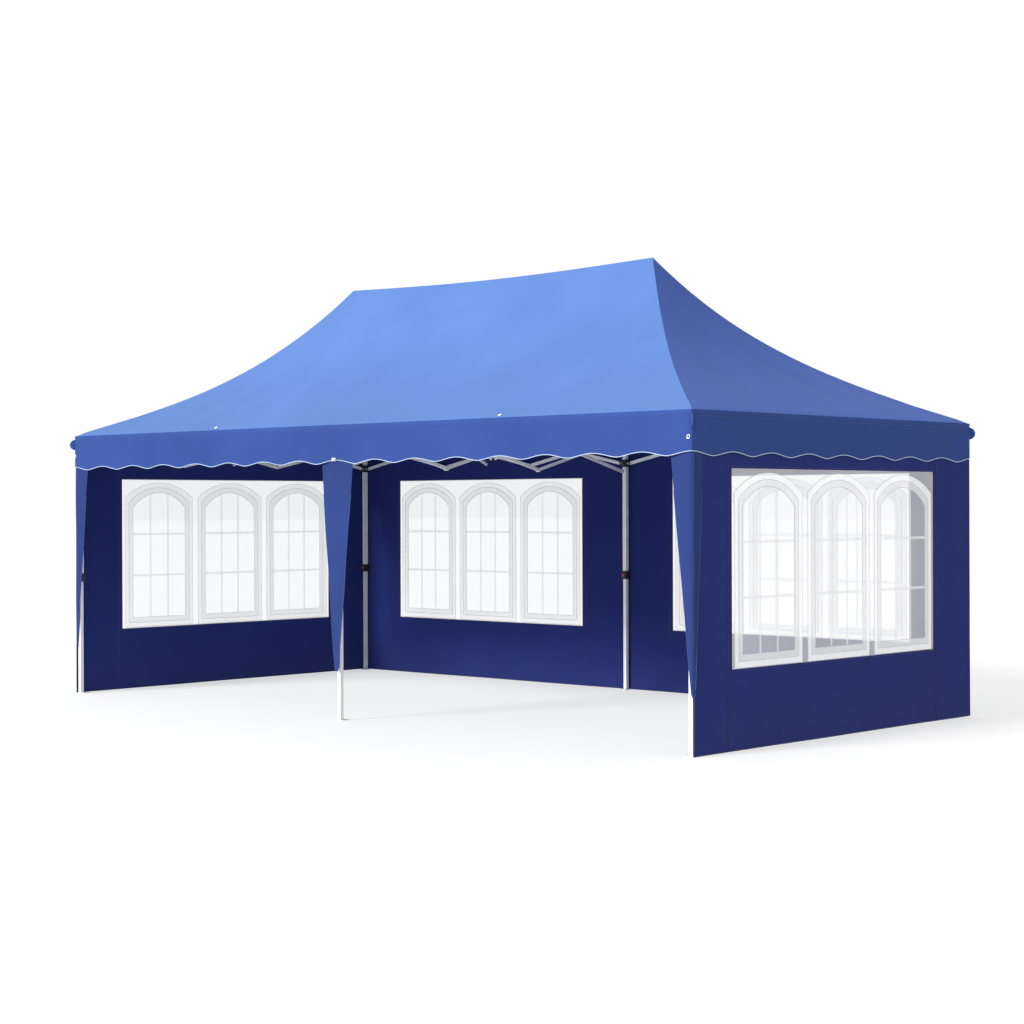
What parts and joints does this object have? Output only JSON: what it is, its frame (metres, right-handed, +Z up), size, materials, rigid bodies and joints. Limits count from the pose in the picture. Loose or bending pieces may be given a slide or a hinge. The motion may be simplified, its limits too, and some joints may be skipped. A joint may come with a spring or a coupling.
{
  "type": "pop up gazebo",
  "caption": "Rectangular pop up garden gazebo with a folding scissor frame, twin-peaked fabric canopy with scalloped valance and clip-on walls with arched windows.",
  "frame": {"origin": "on the ground, at the centre of the footprint", "axes": "+X along the length, +Y towards the back wall, +Z up; the open front faces -Y"},
  "size_m": [5.94, 3.01, 3.05],
  "materials": {
    "steel": "satin powder coat",
    "black_plastic": "matte",
    "canopy_cloth": "coated woven polyester",
    "wall_cloth": "coated woven polyester"
  },
  "bodies": {
    "back_middle_leg": {"outer_leg_back_middle": "steel", "canopy": "canopy_cloth", "back_wall": "wall_cloth"},
    "front_left_leg": {"outer_leg_front_left": "steel"},
    "front_middle_leg": {"outer_leg_front_middle": "steel"},
    "front_right_leg": {"outer_leg_front_right": "steel"},
    "back_left_leg": {"outer_leg_back_left": "steel", "left_wall": "wall_cloth"},
    "back_right_leg": {"outer_leg_back_right": "steel", "right_wall": "wall_cloth"},
    "back_left_falling_bar_1": {"back_left_falling_bar_1": "steel"},
    "back_left_falling_bar_2": {"back_left_falling_bar_2": "steel"},
    "back_left_falling_bar_3": {"back_left_falling_bar_3": "steel"},
    "back_left_rising_bar_1": {"back_left_rising_bar_1": "steel"},
    "back_left_rising_bar_2": {"back_left_rising_bar_2": "steel"},
    "back_left_rising_bar_3": {"back_left_rising_bar_3": "steel"},
    "back_left_slider": {"slider_back_left": "black_plastic"},
    "back_middle_slider": {"slider_back_middle": "black_plastic"},
    "back_right_falling_bar_1": {"back_right_falling_bar_1": "steel"},
    "back_right_falling_bar_2": {"back_right_falling_bar_2": "steel"},
    "back_right_falling_bar_3": {"back_right_falling_bar_3": "steel"},
    "back_right_rising_bar_1": {"back_right_rising_bar_1": "steel"},
    "back_right_rising_bar_2": {"back_right_rising_bar_2": "steel"},
    "back_right_rising_bar_3": {"back_right_rising_bar_3": "steel"},
    "back_right_slider": {"slider_back_right": "black_plastic"},
    "left_end_falling_bar_1": {"left_end_falling_bar_1": "steel"},
    "left_end_falling_bar_2": {"left_end_falling_bar_2": "steel"},
    "left_end_falling_bar_3": {"left_end_falling_bar_3": "steel"},
    "left_end_rising_bar_1": {"left_end_rising_bar_1": "steel"},
    "left_end_rising_bar_2": {"left_end_rising_bar_2": "steel"},
    "left_end_rising_bar_3": {"left_end_rising_bar_3": "steel"},
    "front_left_slider": {"slider_front_left": "black_plastic"},
    "right_end_falling_bar_1": {"right_end_falling_bar_1": "steel"},
    "right_end_falling_bar_2": {"right_end_falling_bar_2": "steel"},
    "right_end_falling_bar_3": {"right_end_falling_bar_3": "steel"},
    "right_end_rising_bar_1": {"right_end_rising_bar_1": "steel"},
    "right_end_rising_bar_2": {"right_end_rising_bar_2": "steel"},
    "right_end_rising_bar_3": {"right_end_rising_bar_3": "steel"},
    "front_right_slider": {"slider_front_right": "black_plastic"},
    "front_left_falling_bar_1": {"front_left_falling_bar_1": "steel"},
    "front_left_falling_bar_2": {"front_left_falling_bar_2": "steel"},
    "front_left_falling_bar_3": {"front_left_falling_bar_3": "steel"},
    "front_left_rising_bar_1": {"front_left_rising_bar_1": "steel"},
    "front_left_rising_bar_2": {"front_left_rising_bar_2": "steel"},
    "front_left_rising_bar_3": {"front_left_rising_bar_3": "steel"},
    "front_middle_slider": {"slider_front_middle": "black_plastic"},
    "front_right_falling_bar_1": {"front_right_falling_bar_1": "steel"},
    "front_right_falling_bar_2": {"front_right_falling_bar_2": "steel"},
    "front_right_falling_bar_3": {"front_right_falling_bar_3": "steel"},
    "front_right_rising_bar_1": {"front_right_rising_bar_1": "steel"},
    "front_right_rising_bar_2": {"front_right_rising_bar_2": "steel"},
    "front_right_rising_bar_3": {"front_right_rising_bar_3": "steel"},
    "front_left_lower_leg": {"inner_leg_front_left": "steel"},
    "front_middle_lower_leg": {"inner_leg_front_middle": "steel"},
    "front_right_lower_leg": {"inner_leg_front_right": "steel"},
    "back_left_lower_leg": {"inner_leg_back_left": "steel"},
    "back_middle_lower_leg": {"inner_leg_back_middle": "steel"},
    "back_right_lower_leg": {"inner_leg_back_right": "steel"},
    "left_peak_pole": {"left_peak_pole": "steel"},
    "right_peak_pole": {"right_peak_pole": "steel"}
  },
  "joints": [
    {"name": "frame_fold", "type": "hinge", "parent": "back_middle_leg", "child": "back_left_falling_bar_1", "pos_m": [-0.038, 1.465, 1.93], "axis": [0, -1, 0], "range_deg": [0, 76], "deforming": ["canopy", "back_wall", "left_wall", "right_wall"]},
    {"name": "back_left_cross_pivot", "type": "hinge", "parent": "back_left_falling_bar_1", "child": "back_left_rising_bar_1", "pos_m": [-0.51367, 1.465, 1.83], "axis": [0, -1, 0], "range_deg": [-152, 0]},
    {"name": "back_left_top_pivot_1", "type": "hinge", "parent": "back_left_rising_bar_1", "child": "back_left_falling_bar_2", "pos_m": [-0.98933, 1.465, 1.93], "axis": [0, -1, 0], "range_deg": [0, 152]},
    {"name": "back_left_bottom_pivot_1", "type": "hinge", "parent": "back_left_falling_bar_1", "child": "back_left_rising_bar_2", "pos_m": [-0.98933, 1.465, 1.73], "axis": [0, -1, 0], "range_deg": [-152, 0]},
    {"name": "back_left_bottom_pivot_2", "type": "hinge", "parent": "back_left_falling_bar_2", "child": "back_left_rising_bar_3", "pos_m": [-1.94067, 1.465, 1.73], "axis": [0, -1, 0], "range_deg": [-152, 0]},
    {"name": "back_left_top_pivot_2", "type": "hinge", "parent": "back_left_rising_bar_2", "child": "back_left_falling_bar_3", "pos_m": [-1.94067, 1.465, 1.93], "axis": [0, -1, 0], "range_deg": [0, 152]},
    {"name": "back_left_leg_pivot", "type": "hinge", "parent": "back_left_rising_bar_3", "child": "back_left_leg", "pos_m": [-2.892, 1.465, 1.93], "axis": [0, -1, 0], "range_deg": [0, 76]},
    {"name": "back_left_slider_pivot", "type": "hinge", "parent": "back_left_falling_bar_3", "child": "back_left_slider", "pos_m": [-2.892, 1.465, 1.73], "axis": [0, -1, 0], "range_deg": [-76, 0]},
    {"name": "back_middle_slider_pivot", "type": "hinge", "parent": "back_left_rising_bar_1", "child": "back_middle_slider", "pos_m": [-0.038, 1.465, 1.73], "axis": [0, -1, 0], "range_deg": [0, 76]},
    {"name": "back_right_head_pivot", "type": "hinge", "parent": "back_middle_leg", "child": "back_right_falling_bar_1", "pos_m": [0.038, 1.465, 1.93], "axis": [0, 1, 0], "range_deg": [0, 76]},
    {"name": "back_right_cross_pivot", "type": "hinge", "parent": "back_right_falling_bar_1", "child": "back_right_rising_bar_1", "pos_m": [0.51367, 1.465, 1.83], "axis": [0, 1, 0], "range_deg": [-152, 0]},
    {"name": "back_right_top_pivot_1", "type": "hinge", "parent": "back_right_rising_bar_1", "child": "back_right_falling_bar_2", "pos_m": [0.98933, 1.465, 1.93], "axis": [0, 1, 0], "range_deg": [0, 152]},
    {"name": "back_right_bottom_pivot_1", "type": "hinge", "parent": "back_right_falling_bar_1", "child": "back_right_rising_bar_2", "pos_m": [0.98933, 1.465, 1.73], "axis": [0, 1, 0], "range_deg": [-152, 0]},
    {"name": "back_right_bottom_pivot_2", "type": "hinge", "parent": "back_right_falling_bar_2", "child": "back_right_rising_bar_3", "pos_m": [1.94067, 1.465, 1.73], "axis": [0, 1, 0], "range_deg": [-152, 0]},
    {"name": "back_right_top_pivot_2", "type": "hinge", "parent": "back_right_rising_bar_2", "child": "back_right_falling_bar_3", "pos_m": [1.94067, 1.465, 1.93], "axis": [0, 1, 0], "range_deg": [0, 152]},
    {"name": "back_right_leg_pivot", "type": "hinge", "parent": "back_right_rising_bar_3", "child": "back_right_leg", "pos_m": [2.892, 1.465, 1.93], "axis": [0, 1, 0], "range_deg": [0, 76]},
    {"name": "back_right_slider_pivot", "type": "hinge", "parent": "back_right_falling_bar_3", "child": "back_right_slider", "pos_m": [2.892, 1.465, 1.73], "axis": [0, 1, 0], "range_deg": [-76, 0]},
    {"name": "left_end_head_pivot", "type": "hinge", "parent": "back_left_leg", "child": "left_end_falling_bar_1", "pos_m": [-2.93, 1.427, 1.93], "axis": [1, 0, 0], "range_deg": [0, 76]},
    {"name": "left_end_cross_pivot", "type": "hinge", "parent": "left_end_falling_bar_1", "child": "left_end_rising_bar_1", "pos_m": [-2.93, 0.95133, 1.83], "axis": [1, 0, 0], "range_deg": [-152, 0]},
    {"name": "left_end_top_pivot_1", "type": "hinge", "parent": "left_end_rising_bar_1", "child": "left_end_falling_bar_2", "pos_m": [-2.93, 0.47567, 1.93], "axis": [1, 0, 0], "range_deg": [0, 152]},
    {"name": "left_end_bottom_pivot_1", "type": "hinge", "parent": "left_end_falling_bar_1", "child": "left_end_rising_bar_2", "pos_m": [-2.93, 0.47567, 1.73], "axis": [1, 0, 0], "range_deg": [-152, 0]},
    {"name": "left_end_bottom_pivot_2", "type": "hinge", "parent": "left_end_falling_bar_2", "child": "left_end_rising_bar_3", "pos_m": [-2.93, -0.47567, 1.73], "axis": [1, 0, 0], "range_deg": [-152, 0]},
    {"name": "left_end_top_pivot_2", "type": "hinge", "parent": "left_end_rising_bar_2", "child": "left_end_falling_bar_3", "pos_m": [-2.93, -0.47567, 1.93], "axis": [1, 0, 0], "range_deg": [0, 152]},
    {"name": "front_left_leg_pivot", "type": "hinge", "parent": "left_end_rising_bar_3", "child": "front_left_leg", "pos_m": [-2.93, -1.427, 1.93], "axis": [1, 0, 0], "range_deg": [0, 76]},
    {"name": "front_left_slider_pivot", "type": "hinge", "parent": "left_end_falling_bar_3", "child": "front_left_slider", "pos_m": [-2.93, -1.427, 1.73], "axis": [1, 0, 0], "range_deg": [-76, 0]},
    {"name": "right_end_head_pivot", "type": "hinge", "parent": "back_right_leg", "child": "right_end_falling_bar_1", "pos_m": [2.93, 1.427, 1.93], "axis": [1, 0, 0], "range_deg": [0, 76]},
    {"name": "right_end_cross_pivot", "type": "hinge", "parent": "right_end_falling_bar_1", "child": "right_end_rising_bar_1", "pos_m": [2.93, 0.95133, 1.83], "axis": [1, 0, 0], "range_deg": [-152, 0]},
    {"name": "right_end_top_pivot_1", "type": "hinge", "parent": "right_end_rising_bar_1", "child": "right_end_falling_bar_2", "pos_m": [2.93, 0.47567, 1.93], "axis": [1, 0, 0], "range_deg": [0, 152]},
    {"name": "right_end_bottom_pivot_1", "type": "hinge", "parent": "right_end_falling_bar_1", "child": "right_end_rising_bar_2", "pos_m": [2.93, 0.47567, 1.73], "axis": [1, 0, 0], "range_deg": [-152, 0]},
    {"name": "right_end_bottom_pivot_2", "type": "hinge", "parent": "right_end_falling_bar_2", "child": "right_end_rising_bar_3", "pos_m": [2.93, -0.47567, 1.73], "axis": [1, 0, 0], "range_deg": [-152, 0]},
    {"name": "right_end_top_pivot_2", "type": "hinge", "parent": "right_end_rising_bar_2", "child": "right_end_falling_bar_3", "pos_m": [2.93, -0.47567, 1.93], "axis": [1, 0, 0], "range_deg": [0, 152]},
    {"name": "front_right_leg_pivot", "type": "hinge", "parent": "right_end_rising_bar_3", "child": "front_right_leg", "pos_m": [2.93, -1.427, 1.93], "axis": [1, 0, 0], "range_deg": [0, 76]},
    {"name": "front_right_slider_pivot", "type": "hinge", "parent": "right_end_falling_bar_3", "child": "front_right_slider", "pos_m": [2.93, -1.427, 1.73], "axis": [1, 0, 0], "range_deg": [-76, 0]},
    {"name": "front_left_head_pivot", "type": "hinge", "parent": "front_left_leg", "child": "front_left_falling_bar_1", "pos_m": [-2.892, -1.465, 1.93], "axis": [0, 1, 0], "range_deg": [0, 76]},
    {"name": "front_left_cross_pivot", "type": "hinge", "parent": "front_left_falling_bar_1", "child": "front_left_rising_bar_1", "pos_m": [-2.41633, -1.465, 1.83], "axis": [0, 1, 0], "range_deg": [-152, 0]},
    {"name": "front_left_top_pivot_1", "type": "hinge", "parent": "front_left_rising_bar_1", "child": "front_left_falling_bar_2", "pos_m": [-1.94067, -1.465, 1.93], "axis": [0, 1, 0], "range_deg": [0, 152]},
    {"name": "front_left_bottom_pivot_1", "type": "hinge", "parent": "front_left_falling_bar_1", "child": "front_left_rising_bar_2", "pos_m": [-1.94067, -1.465, 1.73], "axis": [0, 1, 0], "range_deg": [-152, 0]},
    {"name": "front_left_bottom_pivot_2", "type": "hinge", "parent": "front_left_falling_bar_2", "child": "front_left_rising_bar_3", "pos_m": [-0.98933, -1.465, 1.73], "axis": [0, 1, 0], "range_deg": [-152, 0]},
    {"name": "front_left_top_pivot_2", "type": "hinge", "parent": "front_left_rising_bar_2", "child": "front_left_falling_bar_3", "pos_m": [-0.98933, -1.465, 1.93], "axis": [0, 1, 0], "range_deg": [0, 152]},
    {"name": "front_middle_leg_pivot", "type": "hinge", "parent": "front_left_rising_bar_3", "child": "front_middle_leg", "pos_m": [-0.038, -1.465, 1.93], "axis": [0, 1, 0], "range_deg": [0, 76]},
    {"name": "front_middle_slider_pivot", "type": "hinge", "parent": "front_left_falling_bar_3", "child": "front_middle_slider", "pos_m": [-0.038, -1.465, 1.73], "axis": [0, 1, 0], "range_deg": [-76, 0]},
    {"name": "front_right_head_pivot", "type": "hinge", "parent": "front_right_leg", "child": "front_right_falling_bar_1", "pos_m": [2.892, -1.465, 1.93], "axis": [0, -1, 0], "range_deg": [0, 76]},
    {"name": "front_right_cross_pivot", "type": "hinge", "parent": "front_right_falling_bar_1", "child": "front_right_rising_bar_1", "pos_m": [2.41633, -1.465, 1.83], "axis": [0, -1, 0], "range_deg": [-152, 0]},
    {"name": "front_right_top_pivot_1", "type": "hinge", "parent": "front_right_rising_bar_1", "child": "front_right_falling_bar_2", "pos_m": [1.94067, -1.465, 1.93], "axis": [0, -1, 0], "range_deg": [0, 152]},
    {"name": "front_right_bottom_pivot_1", "type": "hinge", "parent": "front_right_falling_bar_1", "child": "front_right_rising_bar_2", "pos_m": [1.94067, -1.465, 1.73], "axis": [0, -1, 0], "range_deg": [-152, 0]},
    {"name": "front_right_bottom_pivot_2", "type": "hinge", "parent": "front_right_falling_bar_2", "child": "front_right_rising_bar_3", "pos_m": [0.98933, -1.465, 1.73], "axis": [0, -1, 0], "range_deg": [-152, 0]},
    {"name": "front_right_top_pivot_2", "type": "hinge", "parent": "front_right_rising_bar_2", "child": "front_right_falling_bar_3", "pos_m": [0.98933, -1.465, 1.93], "axis": [0, -1, 0], "range_deg": [0, 152]},
    {"name": "front_left_leg_height", "type": "slide", "parent": "front_left_leg", "child": "front_left_lower_leg", "axis": [0, 0, 1], "range_m": [0, 0.8]},
    {"name": "front_middle_leg_height", "type": "slide", "parent": "front_middle_leg", "child": "front_middle_lower_leg", "axis": [0, 0, 1], "range_m": [0, 0.8]},
    {"name": "front_right_leg_height", "type": "slide", "parent": "front_right_leg", "child": "front_right_lower_leg", "axis": [0, 0, 1], "range_m": [0, 0.8]},
    {"name": "back_left_leg_height", "type": "slide", "parent": "back_left_leg", "child": "back_left_lower_leg", "axis": [0, 0, 1], "range_m": [0, 0.8]},
    {"name": "back_middle_leg_height", "type": "slide", "parent": "back_middle_leg", "child": "back_middle_lower_leg", "axis": [0, 0, 1], "range_m": [0, 0.8]},
    {"name": "back_right_leg_height", "type": "slide", "parent": "back_right_leg", "child": "back_right_lower_leg", "axis": [0, 0, 1], "range_m": [0, 0.8]},
    {"name": "left_peak_pole_drop", "type": "slide", "parent": "back_middle_leg", "child": "left_peak_pole", "axis": [0.6351, 0.6351, -0.4395], "range_m": [0, 2.16149]},
    {"name": "right_peak_pole_drop", "type": "slide", "parent": "back_middle_leg", "child": "right_peak_pole", "axis": [-0.6351, 0.6351, -0.4395], "range_m": [0, 2.16149]}
  ],
  "couplings": [
    {"joint": "back_left_cross_pivot", "follows": "frame_fold", "ratio": -2},
    {"joint": "back_left_top_pivot_1", "follows": "frame_fold", "ratio": 2},
    {"joint": "back_left_bottom_pivot_1", "follows": "frame_fold", "ratio": -2},
    {"joint": "back_left_bottom_pivot_2", "follows": "frame_fold", "ratio": -2},
    {"joint": "back_left_top_pivot_2", "follows": "frame_fold", "ratio": 2},
    {"joint": "back_left_leg_pivot", "follows": "frame_fold", "ratio": 1},
    {"joint": "back_left_slider_pivot", "follows": "frame_fold", "ratio": -1},
    {"joint": "back_middle_slider_pivot", "follows": "frame_fold", "ratio": 1},
    {"joint": "back_right_head_pivot", "follows": "frame_fold", "ratio": 1},
    {"joint": "back_right_cross_pivot", "follows": "frame_fold", "ratio": -2},
    {"joint": "back_right_top_pivot_1", "follows": "frame_fold", "ratio": 2},
    {"joint": "back_right_bottom_pivot_1", "follows": "frame_fold", "ratio": -2},
    {"joint": "back_right_bottom_pivot_2", "follows": "frame_fold", "ratio": -2},
    {"joint": "back_right_top_pivot_2", "follows": "frame_fold", "ratio": 2},
    {"joint": "back_right_leg_pivot", "follows": "frame_fold", "ratio": 1},
    {"joint": "back_right_slider_pivot", "follows": "frame_fold", "ratio": -1},
    {"joint": "left_end_head_pivot", "follows": "frame_fold", "ratio": 1},
    {"joint": "left_end_cross_pivot", "follows": "frame_fold", "ratio": -2},
    {"joint": "left_end_top_pivot_1", "follows": "frame_fold", "ratio": 2},
    {"joint": "left_end_bottom_pivot_1", "follows": "frame_fold", "ratio": -2},
    {"joint": "left_end_bottom_pivot_2", "follows": "frame_fold", "ratio": -2},
    {"joint": "left_end_top_pivot_2", "follows": "frame_fold", "ratio": 2},
    {"joint": "front_left_leg_pivot", "follows": "frame_fold", "ratio": 1},
    {"joint": "front_left_slider_pivot", "follows": "frame_fold", "ratio": -1},
    {"joint": "right_end_head_pivot", "follows": "frame_fold", "ratio": 1},
    {"joint": "right_end_cross_pivot", "follows": "frame_fold", "ratio": -2},
    {"joint": "right_end_top_pivot_1", "follows": "frame_fold", "ratio": 2},
    {"joint": "right_end_bottom_pivot_1", "follows": "frame_fold", "ratio": -2},
    {"joint": "right_end_bottom_pivot_2", "follows": "frame_fold", "ratio": -2},
    {"joint": "right_end_top_pivot_2", "follows": "frame_fold", "ratio": 2},
    {"joint": "front_right_leg_pivot", "follows": "frame_fold", "ratio": 1},
    {"joint": "front_right_slider_pivot", "follows": "frame_fold", "ratio": -1},
    {"joint": "front_left_head_pivot", "follows": "frame_fold", "ratio": 1},
    {"joint": "front_left_cross_pivot", "follows": "frame_fold", "ratio": -2},
    {"joint": "front_left_top_pivot_1", "follows": "frame_fold", "ratio": 2},
    {"joint": "front_left_bottom_pivot_1", "follows": "frame_fold", "ratio": -2},
    {"joint": "front_left_bottom_pivot_2", "follows": "frame_fold", "ratio": -2},
    {"joint": "front_left_top_pivot_2", "follows": "frame_fold", "ratio": 2},
    {"joint": "front_middle_leg_pivot", "follows": "frame_fold", "ratio": 1},
    {"joint": "front_middle_slider_pivot", "follows": "frame_fold", "ratio": -1},
    {"joint": "front_right_head_pivot", "follows": "frame_fold", "ratio": 1},
    {"joint": "front_right_cross_pivot", "follows": "frame_fold", "ratio": -2},
    {"joint": "front_right_top_pivot_1", "follows": "frame_fold", "ratio": 2},
    {"joint": "front_right_bottom_pivot_1", "follows": "frame_fold", "ratio": -2},
    {"joint": "front_right_bottom_pivot_2", "follows": "frame_fold", "ratio": -2},
    {"joint": "front_right_top_pivot_2", "follows": "frame_fold", "ratio": 2},
    {"joint": "left_peak_pole_drop", "follows": "frame_fold", "m_per_rad": 1.6295},
    {"joint": "right_peak_pole_drop", "follows": "frame_fold", "m_per_rad": 1.6295}
  ]
}
